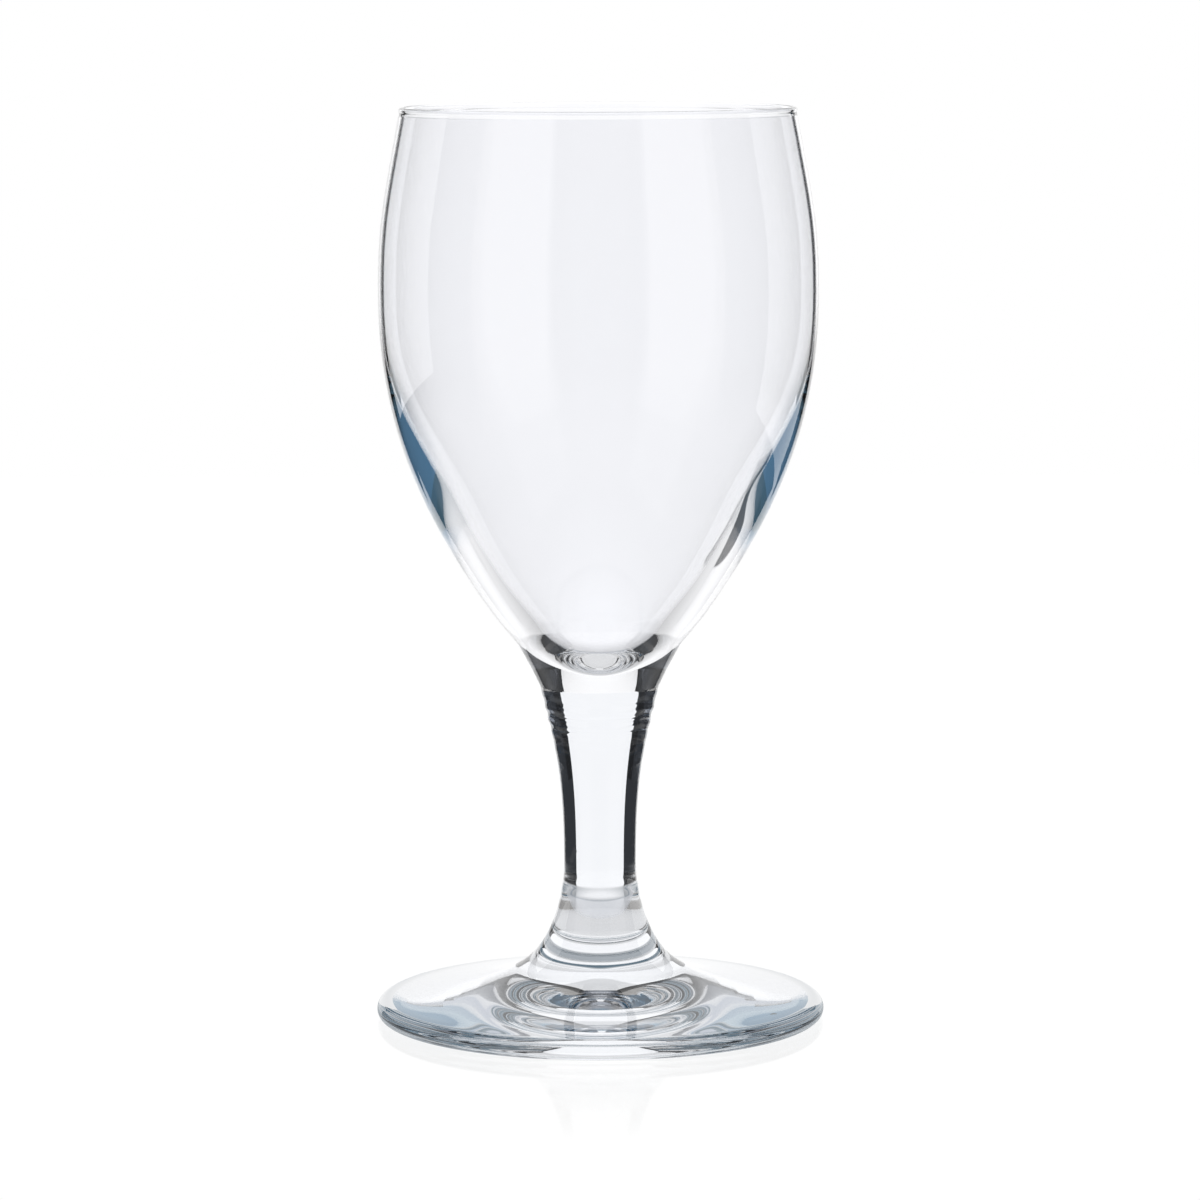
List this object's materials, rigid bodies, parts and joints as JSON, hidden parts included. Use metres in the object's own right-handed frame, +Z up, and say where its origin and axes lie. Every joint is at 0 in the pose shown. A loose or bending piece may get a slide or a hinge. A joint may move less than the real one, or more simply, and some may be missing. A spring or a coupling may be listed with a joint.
{
  "type": "water goblet",
  "caption": "Stemmed clear-glass water goblet: a thin tulip-shaped bowl with a beaded rim, fused to a short stem on a round foot.",
  "frame": {"origin": "middle of the flat ring that the foot stands on", "axes": "+Z up along the axis of the bowl and stem; the goblet is round, so X and Y are free"},
  "size_m": [0.074, 0.074, 0.15],
  "materials": {
    "bowl_glass": "clear colourless glass, fire-polished",
    "stem_glass": "clear colourless glass, fire-polished, with faint weld ripples at both ends",
    "foot_glass": "clear colourless glass, blue-grey at the thick edge, fire-polished"
  },
  "bodies": {
    "root": {"bowl": "bowl_glass", "stem": "stem_glass", "foot": "foot_glass"}
  },
  "joints": []
}
